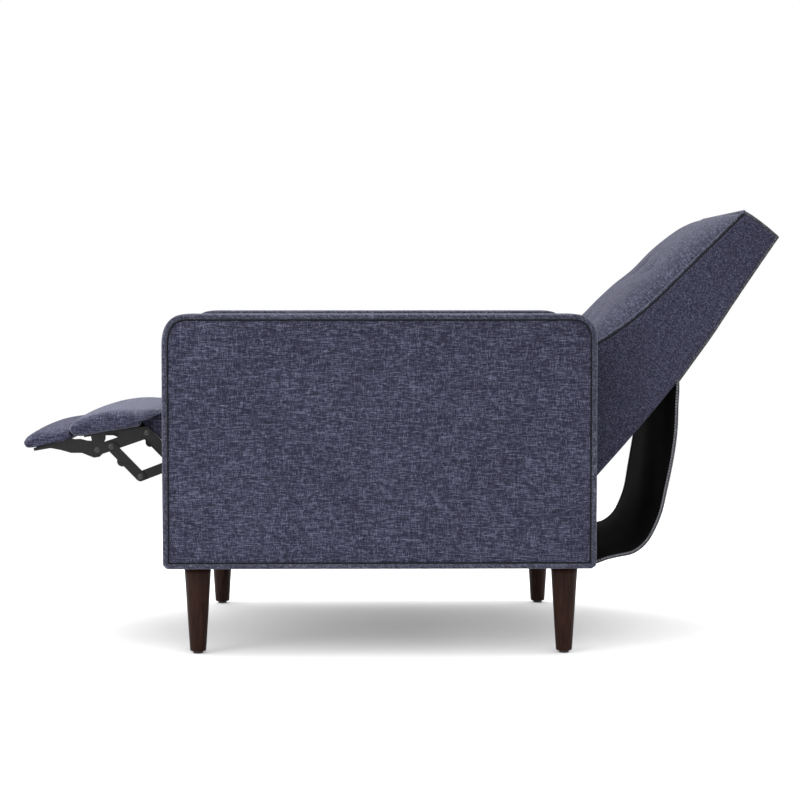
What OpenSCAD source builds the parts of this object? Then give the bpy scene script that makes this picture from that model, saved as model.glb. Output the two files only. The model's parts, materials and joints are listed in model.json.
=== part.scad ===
// Push-back recliner armchair, at rest with its back lowered and its footrest out.
// It faces -Y and stands on Z = 0. Side views below are drawn as [Y, Z].

/* [Body] */
// Width over both arms
chair_w = 705; // [700:1:720]
// Width of one arm
arm_w = 100; // [98:1:102]
// Height of the arm tops
arm_top = 610; // [600:1:630]
// Height of the arm undersides
arm_bottom = 160; // [158:1:162]
// Front face of the arms
arm_front = -424.5; // [-430:0.5:-422]
// Rear face of the arms
arm_rear = 346.5; // [346:0.5:350]
// Corner radius of the arm tops, seen from the side
arm_corner = 35; // [25:1:45]
// Thickness of the padded arm cover
cover_t = 8; // [7:0.5:9]
// Width of the piping beads
piping_w = 8; // [6:0.5:9]

/* [Legs] */
// Top diameter of a leg
leg_d_top = 49; // [40:1:50]
// Bottom diameter of a leg
leg_d_bottom = 29; // [24:1:32]
// Height of the floor glides
glide_h = 4; // [3:0.5:5]
// Place of the front legs
leg_front_y = -366; // [-370:0.5:-360]
// Place of the rear legs
leg_rear_y = 293; // [285:0.5:296]

/* [Seat] */
// Front of the seat cushion
seat_front = -420; // [-424:1:-416]
// Rear of the seat cushion
seat_rear = 152; // [140:1:152]
// Underside of the seat cushion
seat_z = 400; // [398:1:402]
// Top of the seat cushion
seat_top = 488; // [470:1:495]
// Half width of the seat cushion
seat_half = 245; // [235:1:245]
// Rearward travel of the seat as the chair closes
seat_travel = 20; // [18:1:22]

/* [Back] */
// Lean of the back from upright, at rest
back_lean = 45.6; // [45:0.1:46]
// Height of the back above its pivot, along the back
back_len = 580; // [560:1:590]
// Half width of the back
back_half = 246; // [240:1:246]
// Thickness of the back's cover
back_cover_t = 5; // [4:0.5:6]

/* [Mechanism] */
// Width of a flat link
link_w = 18; // [17:0.5:19]
// Radius of the link rivets
rivet_r = 4; // [3.5:0.1:4.2]

/* [Hidden] */
$fn = 96;
half_w = chair_w / 2;
inner_x = half_w - arm_w;        // inner face of an arm
proud = 2;                       // how far the piping stands out of the arm
arm_base_r = 10;                 // corner radius of the arm undersides
leg_x = half_w - arm_w / 2;
bolt_r = 4;
gap = 0.5;                       // air between moving plates
running = 0.05;                  // radial clearance of a rivet in a turning bar

// Plate layers, as the inner face of each, measured from the middle of the chair
plate_t = 3;
x_base = inner_x - plate_t;
x_bracket = x_base - gap - plate_t;
x_seat = inner_x - 8;
x_k = inner_x - 12;
x_a = inner_x - 16;
x_e = inner_x - 20;
x_flip = x_e - gap - plate_t;
board_half = 226;                // half width of the timber inside the links
rail_t = 26;                     // thickness of the timber rails

// Link lengths between pivots: the motion holds only with these together
link_e = 70;                     // footrest bracket
link_c = 76;                     // front link
link_d = 77.65;                  // main link, from the crossing to the seat
link_a = 65;                     // cross link, past the crossing
link_k = 108.3;                  // rear link
lever_len = 36.3;                // recline lever

// Pivots at rest: the crossing and the rest follow from the link lengths
slope_d = 21;                    // slope of the main link and the footrest bracket
slope_a = -46;                   // slope of the cross link and the front link
function dir(a) = [cos(a), sin(a)];
p_front = [-527.5, 367.5];                       // footrest bracket to front link
p_foot = p_front + link_e * dir(slope_d);        // footrest bracket to cross link
p_low = p_front + link_c * dir(slope_a);         // front link to main link
p_cross = p_foot + p_low - p_front;              // cross link to main link
p_seat = p_cross + link_d * dir(slope_d);        // main link to seat plate
p_tail = p_cross + link_a * dir(slope_a);        // cross link to rear link
p_rear = [-279.6, 358.5];                        // rear link to base plate
slope_k = 217.6;                                 // direction of the rear link
p_flip = [-553.5, 361];                          // footrest bracket to flipper bracket
p_back = [172, 425];                             // recline pivot
p_lever = p_back - lever_len * [sin(16), cos(16)];   // lever to push link
p_push = p_lever - [60, 0];                      // push link to seat plate
guide_y = [-150, 50];                            // guide pins that the seat plate slides on
guide_z = 362;
bolt_y = [-110, 20];                             // bolts that hold a base plate to its arm
bolt_z = 318;

// ---- helpers ----

// A side view drawn as [Y, Z], given thickness t outwards from x
module plate(x, t) {
    translate([x, 0, 0]) rotate([90, 0, 90]) linear_extrude(t) children();
}

// The same shape on the left (+X) and on the right
module pair() {
    children();
    mirror([1, 0, 0]) children();
}

// Half a circle of radius r about p, from angle a onwards
function half_round(p, r, a) = [for (i = [0:12]) p + r * dir(a + 15 * i)];

// A flat bar with round ends, from a to b
module bar(a, b, w) {
    run = b - a;
    turn = atan2(run[1], run[0]);
    polygon(concat(half_round(a, w / 2, turn + 90), half_round(b, w / 2, turn - 90)));
}

module hole(p, r) {
    translate(p) circle(r = r);
}

// A round pin along X at side-view point p
module pin(p, x0, x1, r) {
    translate([x0, p[0], p[1]]) rotate([0, 90, 0]) cylinder(r = r, h = x1 - x0);
}

// A rivet: its shank, and a flat head at its outer end
module rivet(p, x0, x1, head) {
    pin(p, x0, x1, rivet_r);
    pin(p, x1, x1 + head, rivet_r + 3);
}

// A box between two corners
module block(a, b) {
    translate(a) cube(b - a);
}

// A frame that leans with the back: x is rearwards, y is up the back
module leaning() {
    translate(p_back) rotate(-back_lean) children();
}

// A frame on the underside of the footrest board, and one on the flipper board
foot_origin = [-512.5, 397];
foot_slope = 8.5;
flip_origin = [-629.5, 375];
flip_slope = 14.6;
module on_foot() {
    translate(foot_origin) rotate(foot_slope) children();
}
module on_flip() {
    translate(flip_origin) rotate(flip_slope) children();
}

// ---- arms and base ----

// Side outline of an arm, drawn smaller by inset
module arm_outline(inset) {
    y0 = arm_front + inset;
    y1 = arm_rear - inset;
    z0 = arm_bottom + inset;
    z1 = arm_top - inset;
    rt = arm_corner - inset;
    rb = arm_base_r - inset > 1 ? arm_base_r - inset : 1;
    translate([y0, z0 + rb]) square([y1 - y0, z1 - z0 - rt - rb]);
    translate([y0 + rb, z0]) square([y1 - y0 - 2 * rb, rb]);
    translate([y0 + rt, z1 - rt]) square([y1 - y0 - 2 * rt, rt]);
    for (y = [y0 + rt, y1 - rt]) translate([y, z1 - rt]) circle(r = rt);
    for (y = [y0 + rb, y1 - rb]) translate([y, z0 + rb]) circle(r = rb);
}

module arm_piping() {
    color("#33334a") plate(half_w - piping_w, piping_w) difference() {
        arm_outline(0);
        arm_outline(piping_w);
    }
}

module arm_cover() {
    cavity = cover_t + proud;
    color("#47475b") difference() {
        plate(inner_x, arm_w - proud) arm_outline(proud);
        plate(inner_x + cover_t, arm_w - cavity - cover_t) arm_outline(cavity);
        plate(half_w - piping_w, piping_w + 1) difference() {
            arm_outline(-1);
            arm_outline(piping_w);
        }
        for (y = [leg_front_y, leg_rear_y])
            translate([leg_x, y, arm_bottom - 1]) cylinder(r = bolt_r, h = cavity + 2);
        for (y = bolt_y) pin([y, bolt_z], inner_x - 1, inner_x + cover_t + 1, bolt_r);
    }
}

frame_x0 = inner_x + cover_t;
frame_w = 70;
frame_rail = 40;
module arm_frame() {
    inset = cover_t + proud;
    y0 = arm_front + inset + 12;
    y1 = arm_rear - inset - 12;
    z0 = arm_bottom + inset;
    z1 = arm_top - inset - 12;
    color("#b98f5c") difference() {
        union() {
            plate(frame_x0 + 12, frame_w - 12) difference() {
                translate([y0, z0]) square([y1 - y0, z1 - z0]);
                for (i = [0, 1])
                    translate([y0 + frame_rail + i * (y1 - y0 - frame_rail) / 2, z0 + frame_rail])
                        square([(y1 - y0 - 3 * frame_rail) / 2, z1 - z0 - 2 * frame_rail]);
            }
            plate(frame_x0, 12) translate([y0, z0]) square([y1 - y0, z1 - z0]);
        }
        for (y = [leg_front_y, leg_rear_y])
            translate([leg_x, y, z0 - 1]) cylinder(r = bolt_r, h = frame_rail + 2);
        for (y = bolt_y) pin([y, bolt_z], frame_x0 - 1, frame_x0 + 13, bolt_r);
    }
}

rail_y = -200;                   // front face of the front rail
rail_z = arm_bottom + 5;
rail_h = 65;
rear_rail_y = 300;               // front face of the rear rail
module cross_rail(y) {
    color("#b98f5c") block([-inner_x, y, rail_z], [inner_x, y + 25, rail_z + rail_h]);
}

// Steel angles that hold the cross rails to the arms
module rail_brackets() {
    color("#202022") pair() for (y = [rail_y + 25, rear_rail_y - 40]) {
        block([inner_x - 3, y, rail_z + 10], [inner_x, y + 40, rail_z + 50]);
        flange = y > 0 ? y + 37 : y;
        block([inner_x - 40, flange, rail_z + 10], [inner_x - 3, flange + 3, rail_z + 50]);
    }
}

module leg(y) {
    color("#39281f") translate([leg_x, y, 0]) difference() {
        translate([0, 0, glide_h])
            cylinder(d1 = leg_d_bottom, d2 = leg_d_top, h = arm_bottom - glide_h + proud);
        translate([0, 0, glide_h - 1]) cylinder(r = 2.5, h = 16);
        translate([0, 0, arm_bottom - 35]) cylinder(r = bolt_r, h = 40);
    }
}

module leg_bolts() {
    color("#9a9ca0") pair() for (y = [leg_front_y, leg_rear_y])
        translate([leg_x, y, arm_bottom - 35]) cylinder(r = bolt_r, h = 80);
}

module foot_glides() {
    color("#1c1c1e") pair() for (y = [leg_front_y, leg_rear_y]) translate([leg_x, y, 0]) {
        cylinder(d = 18, h = glide_h);
        translate([0, 0, glide_h]) cylinder(r = 2.5, h = 15);
    }
}

// Points down the middle of the cloth that hangs behind the seat, from the back to the rail
flap_t = 3;
flap_path = [[508, 486], [505, 440], [502, 392], [497, 340], [486, 285], [470, 235],
    [448, 194], [420, 170], [380, 161], [325, rail_z - flap_t / 2], [300, rail_z - flap_t / 2]];
function normal(a, b) = let (d = (b - a) / norm(b - a)) [-d[1], d[0]];
function path_normal(p, i) =
    let (n = normal(p[max(i - 1, 0)], p[i > 0 ? i : 1])
           + normal(p[i < len(p) - 1 ? i : i - 1], p[min(i + 1, len(p) - 1)]))
    n / norm(n);
function beside(p, d) = [for (i = [0:len(p) - 1]) p[i] + d * path_normal(p, i)];
function reversed(p) = [for (i = [len(p) - 1:-1:0]) p[i]];
module rear_flap() {
    half = back_half - 2;
    color("#17171c") plate(-half, 2 * half)
        polygon(concat(beside(flap_path, flap_t / 2), reversed(beside(flap_path, -flap_t / 2))));
}

module base_plate() {
    color("#202022") plate(x_base, plate_t) difference() {
        polygon(concat([[p_rear[0] - 20, guide_z - 20], [p_rear[0] - 20, guide_z + 20],
            [130, guide_z + 20], p_back + [-20, 14], p_back + [-12, 22], p_back + [12, 22],
            p_back + [22, 12], p_back + [22, -12], [170, guide_z - 20]],
            [for (y = reversed(bolt_y), c = [[18, 0], [18, 40], [-18, 40], [-18, 0]])
                [y + c[0], guide_z - 20 - c[1]]]));
        hole(p_rear, rivet_r);
        hole(p_back, 6);
        for (y = guide_y) hole([y, guide_z], rivet_r);
        for (y = bolt_y) hole([y, bolt_z], bolt_r);
    }
}

module plate_bolts() {
    color("#9a9ca0") pair() for (y = bolt_y) {
        pin([y, bolt_z], x_base, frame_x0 + 12, bolt_r);
        pin([y, bolt_z], x_base - 4, x_base, 8);
    }
}

// Pins on the base plates: the rear link turns on one, the seat plate slides on two
module base_pins() {
    color("#9a9ca0") pair() {
        pin(p_rear, x_k, x_base + plate_t, rivet_r);
        pin(p_rear, x_k - 0.7, x_k, rivet_r + 3);
        for (y = guide_y) {
            pin([y, guide_z], x_seat, x_base + plate_t, rivet_r);
            pin([y, guide_z], x_seat - 2, x_seat, rivet_r + 4);
        }
    }
}

module recline_pins() {
    color("#9a9ca0") pair() {
        pin(p_back, x_bracket, x_base + plate_t, 6);
        pin(p_back, x_bracket - 0.8, x_bracket, 9);
    }
}

// ---- seat ----

seat_rail_z = seat_z - 60;
side_rail_front = seat_front + 34;
side_rail_rear = 145;
module seat_cross_rail(y) {
    color("#b98f5c")
        block([-board_half + rail_t, y, seat_rail_z], [board_half - rail_t, y + rail_t, seat_z]);
}

module seat_side_rail() {
    color("#b98f5c") difference() {
        block([board_half - rail_t, side_rail_front, seat_rail_z],
              [board_half, side_rail_rear, seat_z]);
        for (y = spacer_y) pin([y, guide_z + 8], board_half - rail_t - 1, board_half + 1, bolt_r);
    }
}

// Sinuous springs between the front and rear rails
spring_n = 5;
spring_turns = 12;
spring_x = 80;                   // distance between springs
spring_r = 1.8;
spring_z = seat_z - 8;
spring_y0 = side_rail_front + rail_t + 6;
spring_y1 = side_rail_rear - rail_t - 6;
module seat_springs() {
    step = (spring_y1 - spring_y0) / spring_turns;
    color("#9a9ca0") for (k = [0:spring_n - 1]) {
        x0 = (k - (spring_n - 1) / 2) * spring_x;
        points = [for (i = [0:spring_turns])
            [x0 + (i == 0 || i == spring_turns ? 0 : i % 2 == 0 ? 20 : -20), spring_y0 + i * step]];
        translate([0, 0, spring_z - spring_r]) linear_extrude(2 * spring_r)
            for (i = [0:spring_turns - 1]) bar(points[i], points[i + 1], 2 * spring_r, $fn = 24);
    }
}

module spring_clips() {
    color("#202022") for (k = [0:spring_n - 1], y = [spring_y0 - 6, spring_y1 + spring_r]) {
        x0 = (k - (spring_n - 1) / 2) * spring_x;
        block([x0 - 7, y, spring_z - 5], [x0 + 7, y + 6 - spring_r, spring_z + 5]);
    }
}

module seat_cushion() {
    color("#47475b") plate(-seat_half, 2 * seat_half) {
        r = 22;
        h = seat_top - seat_z;
        translate([seat_front, seat_z]) square([seat_rear - seat_front, h - r]);
        translate([seat_front + r, seat_z]) square([seat_rear - seat_front - 2 * r, h]);
        for (y = [seat_front + r, seat_rear - r]) hole([y, seat_top - r], r);
    }
}

spacer_y = [-220, 90];           // bosses that join a seat plate to its side rail
module seat_plate() {
    y0 = p_seat[0] - 16;
    y1 = p_push[0] + 14;
    z0 = guide_z - 12;
    z1 = guide_z + 26;
    color("#202022") difference() {
        union() {
            plate(x_seat, plate_t) polygon([[y0, z0 + 8], [y0, z1 - 8], [y0 + 8, z1],
                [p_push[0] - 20, z1], [p_push[0] - 10, seat_z - 1], [y1 - 4, seat_z - 1],
                [y1, seat_z - 5], [y1, z0 + 8], [y1 - 8, z0], [y0 + 8, z0]]);
            for (y = spacer_y) pin([y, guide_z + 8], board_half, x_seat, 10);
        }
        pin(p_seat, x_seat - 1, x_seat + plate_t + 1, rivet_r);
        pin(p_push, x_seat - 1, x_seat + plate_t + 1, rivet_r);
        for (y = spacer_y) pin([y, guide_z + 8], board_half - 1, x_seat + plate_t + 1, bolt_r);
        plate(x_seat - 1, plate_t + 2) {
            bar(p_rear - [seat_travel, 0], p_rear, 2 * rivet_r + 2);
            for (y = guide_y)
                bar([y - seat_travel, guide_z], [y, guide_z], 2 * rivet_r + 1);
        }
    }
}

// Rivets of the seat plates, and the bolts through their bosses
module seat_pins() {
    color("#9a9ca0") pair() {
        pin(p_seat, x_e, x_seat + plate_t, rivet_r);
        pin(p_seat, x_e - 0.7, x_e, rivet_r + 3);
        pin(p_push, x_k, x_seat + plate_t, rivet_r);
        pin(p_push, x_k - 0.7, x_k, rivet_r + 5);
        for (y = spacer_y) pin([y, guide_z + 8], board_half - rail_t, x_seat + plate_t, bolt_r);
    }
}

// ---- back, drawn leaning: [rearwards, up the back] from the recline pivot ----

back_seam = [[2, 14], [2, 90], [8, 130], [20, 175], [37, 225], [48, 280], [53, 335],
    [54, 400], [53.5, back_len]];
back_rear = [[88, back_len + 9], [127, back_len + 13], [188, 288], [215, 14]];

module back_cover() {
    t = back_cover_t;
    outer = concat(back_seam, back_rear);
    inner = [[-10, 14 + t], [-10, back_len - t], [53, back_len - t], [88, back_len + 9 - t],
        [127 - t, back_len + 13 - t], [188 - t, 288], [215 - t, 14 + t]];
    color("#3e3d50") difference() {
        plate(-back_half, 2 * back_half) leaning() polygon(outer);
        plate(-back_half + t, 2 * (back_half - t)) leaning() polygon(inner);
        pair() plate(board_half - 9, 8) leaning()
            translate([bracket_n - 17, 10]) square([34, 20]);
    }
}

crown_r = 640;                   // radius of the cushion's crown across the back
module back_cushion() {
    t = back_cover_t;
    face = [[-4, 22], [-5, 100], [-3, 200], [0, 290], [2, 370], [5, 440], [12, 495],
        [26, 540], [46, back_len - 8]];
    rear = [[57, back_len - 8], [57, 22]];
    color("#47475b") {
        intersection() {
            plate(-back_half + t, 2 * (back_half - t)) leaning() polygon(concat(face, rear));
            translate([0, p_back[0], p_back[1]]) rotate([-back_lean, 0, 0])
                translate([0, crown_r - 5, 0]) cylinder(r = crown_r, h = back_len, $fn = 192);
        }
        plate(-back_half + t, 2 * (back_half - t)) leaning() intersection() {
            polygon(concat(back_seam, [[57, back_len], [57, 14]]));
            translate([-10, 22]) square([70, back_len - 30]);
        }
    }
}

// A bead along the seam round the front of the back
module back_piping() {
    w = 6;
    inner = reversed([for (p = back_seam) p - [w / 2, 0]]);
    color("#33334a") pair()
        plate(back_half - back_cover_t, w - 2) leaning()
            polygon(concat(back_seam, inner));
}

button_u = [250, 400];           // heights of the two rows of buttons
button_x = [-120, 0, 120];
module back_buttons() {
    color("#33334a") for (u = button_u, x = button_x) {
        n = crown_r - 5 - sqrt(crown_r * crown_r - x * x);
        translate([x, p_back[0], p_back[1]]) rotate([-back_lean, 0, 0])
            translate([0, n - 8, u]) rotate([-90, 0, 0]) cylinder(r = 12, h = 5);
    }
}

// Plywood sides of the back
side_in = board_half - 4;
module back_side() {
    t = back_cover_t + 1;
    color("#b98f5c") plate(side_in, 15) leaning() polygon([[60, 14 + t], [60, back_len - t],
        [126 - 2 * t, back_len + 4 - t], [186 - t, 290], [213 - t, 14 + t]]);
}

module back_rail(n, u, depth, h) {
    color("#b98f5c") plate(-side_in, 2 * side_in) leaning() translate([n, u]) square([depth, h]);
}

// Elastic straps across the front of the plywood sides
module back_webbing() {
    color("#2a2a30") for (u = [90:80:490])
        plate(-side_in - 14, 2 * (side_in + 14)) leaning() translate([58, u]) square([2, 50]);
}

bracket_n = 110;                 // where the brackets climb into the back
bracket_in = side_in - plate_t;
module back_bracket() {
    color("#202022") difference() {
        union() {
            plate(x_bracket, plate_t) {
                bar(p_back, p_lever, 24);
                leaning() bar([0, 0], [bracket_n, -4], 30);
            }
            plate(bracket_in, x_bracket - bracket_in) leaning()
                translate([bracket_n - 15, -10]) square([30, 3]);
            plate(bracket_in, plate_t) leaning()
                translate([bracket_n - 15, -10]) square([30, 220]);
        }
        pin(p_back, x_bracket - 1, x_bracket + plate_t + 1, 6 + running);
        pin(p_lever, x_bracket - 1, x_bracket + plate_t + 1, rivet_r);
    }
}

module lever_pins() {
    color("#9a9ca0") pair() {
        pin(p_lever, x_k, x_bracket + plate_t, rivet_r);
        pin(p_lever, x_k - 0.7, x_k, rivet_r + 3);
    }
}

module push_links() {
    color("#202022") pair() plate(x_k, plate_t) difference() {
        bar(p_push, p_lever, 17);
        hole(p_lever, rivet_r + running);
        hole(p_push, rivet_r + 2);
    }
}

// ---- footrest linkage ----

module rear_links() {
    tail = p_rear + link_k * dir(slope_k);
    color("#202022") pair() plate(x_k, plate_t) difference() {
        bar(p_rear, tail, link_w + 4);
        hole(p_rear, rivet_r + running);
        hole(tail, rivet_r + 2.2);
        hole(tube_at, 8);
    }
}

tube_at = p_rear + link_k * 0.5 * dir(slope_k);
module link_tube() {
    color("#202022") difference() {
        pin(tube_at, -x_k - plate_t, x_k + plate_t, 8);
        pin(tube_at, -x_k - plate_t - 1, x_k + plate_t + 1, 6);
    }
}

module main_links() {
    color("#202022") pair() plate(x_e, plate_t) difference() {
        bar(p_low, p_seat, link_w);
        hole(p_low, rivet_r);
        hole(p_cross, rivet_r);
        hole(p_seat, rivet_r + running);
    }
}

module main_rivets() {
    color("#9a9ca0") pair() for (p = [p_low, p_cross]) rivet(p, x_e, x_a + plate_t, 0.7);
}

module cross_links() {
    color("#202022") pair() plate(x_a, plate_t) difference() {
        bar(p_foot, p_tail, link_w);
        hole(p_foot, rivet_r);
        hole(p_cross, rivet_r + running);
        hole(p_tail, rivet_r);
    }
}

module cross_rivets() {
    color("#9a9ca0") pair() {
        rivet(p_foot, x_e, x_a + plate_t, 0.7);
        pin(p_tail, x_a, x_k + plate_t, rivet_r);
        pin(p_tail, x_a - 0.7, x_a, rivet_r + 3);
    }
}

module front_links() {
    color("#202022") pair() plate(x_a, plate_t) difference() {
        union() {
            bar(p_front, p_low, link_w);
            translate(p_front + 33 * dir(slope_a) - [3, 3]) circle(r = 10, $fn = 12);
        }
        hole(p_front, rivet_r + 0.3);
        hole(p_low, rivet_r + running);
    }
}

module footrest_brackets() {
    color("#202022") pair() {
        plate(x_e, plate_t) difference() {
            union() {
                bar(p_flip, p_foot, 20);
                on_foot() polygon([[-6, -1], [2, -26], [24, -26], [48, -22], [54, -1]]);
                on_foot() polygon([[-54, -1], [-52, -24], [-36, -24], [-28, -12], [-26, -1]]);
                on_foot() translate([-66, -3]) square([120, 3]);
            }
            hole(p_flip, rivet_r);
            hole(p_front, rivet_r);
            hole(p_foot, rivet_r + running);
        }
        plate(board_half - 30, x_e - board_half + 30) on_foot()
            translate([-45, -3]) square([95, 3]);
    }
}

module footrest_board() {
    color("#b98f5c") plate(-board_half, 2 * board_half) on_foot()
        translate([-72, 0]) square([145, 14]);
}

// Padding wrapped round the footrest board
module footrest_pad() {
    color("#47475b") plate(-seat_half, 2 * seat_half) on_foot() difference() {
        polygon([[-88, 16], [-86, 6], [-78, 1], [80, 1], [86, 12], [88, 23], [80, 31],
            [62, 35], [40, 37], [8, 38.5], [-20, 38], [-38, 37], [-56, 35.5], [-72, 33],
            [-82, 30], [-87, 25]]);
        translate([-72.5, -1]) square([146, 15]);
    }
}

module footrest_rivets() {
    color("#9a9ca0") pair() {
        rivet(p_front, x_e, x_a + plate_t, 0.7);
        pin(p_flip, x_flip, x_e + plate_t, rivet_r);
        pin(p_flip, x_flip - 0.7, x_flip, rivet_r + 3);
    }
}

module flipper_brackets() {
    color("#202022") pair() {
        plate(x_flip, plate_t) difference() {
            on_flip() polygon([[-42, 0], [-42, -5.5], [-12, -8], [5, -16], [22, -26], [41, -31],
                [60, -45], [70, -46], [79, -41], [83, -33], [80, -24], [72, -17], [65, -14],
                [57, -12], [45, -5.5], [34, -3], [28, 0]]);
            hole(p_flip, rivet_r + running);
        }
        plate(board_half - 30, x_flip - board_half + 30) on_flip()
            translate([-36, -3]) square([60, 3]);
    }
}

module flipper_board() {
    color("#b98f5c") plate(-flip_half + 14, 2 * (flip_half - 14)) on_flip()
        translate([-38, 0]) square([64, 10]);
}

flip_half = 240;                 // half width of the flipper pad
module flipper_pad() {
    color("#47475b") plate(-flip_half, 2 * flip_half) on_flip() difference() {
        polygon([[-51.6, 16], [-51, 7], [-46, 2], [-40, 0.5], [29, 0.5], [31, 16], [28, 24],
            [15, 27], [-10, 29], [-34, 29.5], [-46, 28], [-50.5, 23]]);
        translate([-38.5, -1]) square([65, 11.5]);
    }
}

// ---- nodes ----

arm_cover();  // arm_cover_left
mirror([1, 0, 0]) arm_cover();  // arm_cover_right
arm_piping();  // arm_piping_left
mirror([1, 0, 0]) arm_piping();  // arm_piping_right
arm_frame();  // arm_frame_left
mirror([1, 0, 0]) arm_frame();  // arm_frame_right
cross_rail(rail_y);  // front_rail
cross_rail(rear_rail_y);  // rear_rail
rail_brackets();
leg(leg_front_y);  // leg_front_left
mirror([1, 0, 0]) leg(leg_front_y);  // leg_front_right
leg(leg_rear_y);  // leg_rear_left
mirror([1, 0, 0]) leg(leg_rear_y);  // leg_rear_right
leg_bolts();
foot_glides();
rear_flap();
base_plate();  // base_plate_left
mirror([1, 0, 0]) base_plate();  // base_plate_right
plate_bolts();
base_pins();
recline_pins();
seat_cross_rail(side_rail_front);  // seat_front_rail
seat_cross_rail(side_rail_rear - rail_t);  // seat_rear_rail
seat_side_rail();  // seat_side_rail_left
mirror([1, 0, 0]) seat_side_rail();  // seat_side_rail_right
seat_springs();
spring_clips();
seat_cushion();
seat_plate();  // seat_plate_left
mirror([1, 0, 0]) seat_plate();  // seat_plate_right
seat_pins();
back_side();  // back_side_left
mirror([1, 0, 0]) back_side();  // back_side_right
back_rail(62, back_len - 40, 40, 30);  // back_top_rail
back_rail(62, 30, 32, 40);  // back_lower_rail
back_webbing();
back_cover();
back_cushion();
back_piping();
back_buttons();
back_bracket();  // back_bracket_left
mirror([1, 0, 0]) back_bracket();  // back_bracket_right
lever_pins();
push_links();
rear_links();
link_tube();
main_links();
main_rivets();
cross_links();
cross_rivets();
front_links();
footrest_brackets();
footrest_board();
footrest_pad();
footrest_rivets();
flipper_brackets();
flipper_board();
flipper_pad();
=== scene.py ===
"""Push-back recliner armchair: fabric, padding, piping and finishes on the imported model.

Lengths are in metres in the row frame: the chair faces -Y, +X is the sitter's left, Z is up.
"""
import json
import math

import bmesh
import bpy
import numpy as np
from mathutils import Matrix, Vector, noise


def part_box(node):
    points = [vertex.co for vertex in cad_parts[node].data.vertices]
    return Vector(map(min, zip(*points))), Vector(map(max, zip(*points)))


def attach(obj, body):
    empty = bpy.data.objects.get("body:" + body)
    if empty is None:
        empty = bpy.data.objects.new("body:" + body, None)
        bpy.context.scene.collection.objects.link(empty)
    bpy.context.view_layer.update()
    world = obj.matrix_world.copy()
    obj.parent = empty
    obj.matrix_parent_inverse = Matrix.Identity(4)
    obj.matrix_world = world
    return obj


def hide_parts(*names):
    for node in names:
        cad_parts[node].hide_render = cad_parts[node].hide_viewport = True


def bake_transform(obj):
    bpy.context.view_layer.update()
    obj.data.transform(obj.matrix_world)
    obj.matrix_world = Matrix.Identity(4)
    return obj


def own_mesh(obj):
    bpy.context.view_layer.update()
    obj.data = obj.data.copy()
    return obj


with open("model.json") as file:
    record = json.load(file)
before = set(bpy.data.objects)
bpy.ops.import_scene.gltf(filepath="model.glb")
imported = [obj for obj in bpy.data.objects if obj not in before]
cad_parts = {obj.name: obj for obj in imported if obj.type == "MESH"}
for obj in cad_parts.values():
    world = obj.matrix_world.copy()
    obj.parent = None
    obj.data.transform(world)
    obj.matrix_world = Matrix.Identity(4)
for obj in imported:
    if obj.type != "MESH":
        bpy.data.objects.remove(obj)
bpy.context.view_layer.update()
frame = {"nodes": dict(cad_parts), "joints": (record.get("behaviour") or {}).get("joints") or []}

MM = 0.001
SIDES = {"left": 1, "right": -1}
CORNER_STEPS = 12                # steps of a rounded corner


# ---- places taken from the CAD model ----

ARM_LOW, ARM_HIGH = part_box("arm_piping_left")
INNER_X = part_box("arm_cover_left")[0].x
SEAT_LOW, SEAT_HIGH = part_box("seat_cushion")
PIVOT = Vector(next(j for j in frame["joints"] if j["name"] == "recline")["pos_m"])
PIVOT_Y, PIVOT_Z = PIVOT.y, PIVOT.z
BACK_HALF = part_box("back_cover")[1].x
PAD_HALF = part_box("footrest_pad")[1].x
FLIP_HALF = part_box("flipper_pad")[1].x
FLAP_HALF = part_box("rear_flap")[1].x

LEAN = math.radians(45.6)        # lean of the back from upright, at rest
FOOT_AT = (-0.5125, 0.397)       # underside of the footrest board, and its slope
FOOT_SLOPE = math.radians(8.5)
FLIP_AT = (-0.6295, 0.375)       # underside of the flipper board, and its slope
FLIP_SLOPE = math.radians(14.6)


# ---- points and grids ----

def on_board(at, slope, x, v, h):
    """Row-frame point of a place on a footrest board: v rearwards and h above it, in mm."""
    s, c = math.sin(slope), math.cos(slope)
    v, h = np.asarray(v) * MM, np.asarray(h) * MM
    y = at[0] + v * c - h * s
    z = at[1] + v * s + h * c
    return np.stack(np.broadcast_arrays(np.asarray(x) * MM, y, z), axis=-1)


def leaning(x, n, u):
    """Row-frame point of a place on the back: n rearwards and u up the back from its pivot, in mm."""
    return on_board((PIVOT_Y, PIVOT_Z), -LEAN, x, n, u)


def steps(line):
    """Distance from each point of a line to the next."""
    return np.linalg.norm(np.diff(line, axis=0), axis=1)


def reread(line, places):
    """Points of a line at the given shares of its length."""
    line = np.asarray(line, float)
    step = steps(line)
    along = np.concatenate([[0], np.cumsum(step)]) / step.sum()
    return np.stack([np.interp(places, along, line[:, k]) for k in range(line.shape[1])], axis=1)


def spread(line, count):
    """count points at even distances along a line."""
    return reread(line, np.linspace(0, 1, count))


def arc(centre, radius, first, sweep=90):
    """Points of a circular arc, from first degrees on."""
    turns = [math.radians(first + sweep * k / CORNER_STEPS) for k in range(CORNER_STEPS + 1)]
    return [(centre[0] + radius * math.cos(a), centre[1] + radius * math.sin(a)) for a in turns]


def circle(around):
    """Cosines and sines of even turns round a circle, the first of them again at the end."""
    angle = np.linspace(0, 2 * math.pi, around + 1)
    return np.cos(angle), np.sin(angle)


def rounded(x0, y0, x1, y1, radius, first):
    """The four rounded corners of a rectangle in order, starting first degrees round."""
    line = []
    for turn in range(first, first + 360, 90):
        x = x1 - radius if turn % 360 in (0, 270) else x0 + radius
        y = y1 - radius if turn % 360 in (0, 90) else y0 + radius
        line += arc((x, y), radius, turn)
    return line


def outwards(line):
    """Unit direction square to a side-view line at each of its points."""
    tangent = np.gradient(line, axis=0)
    tangent /= np.linalg.norm(tangent, axis=1)[:, None]
    return np.column_stack([tangent[:, 1], -tangent[:, 0]])


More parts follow.
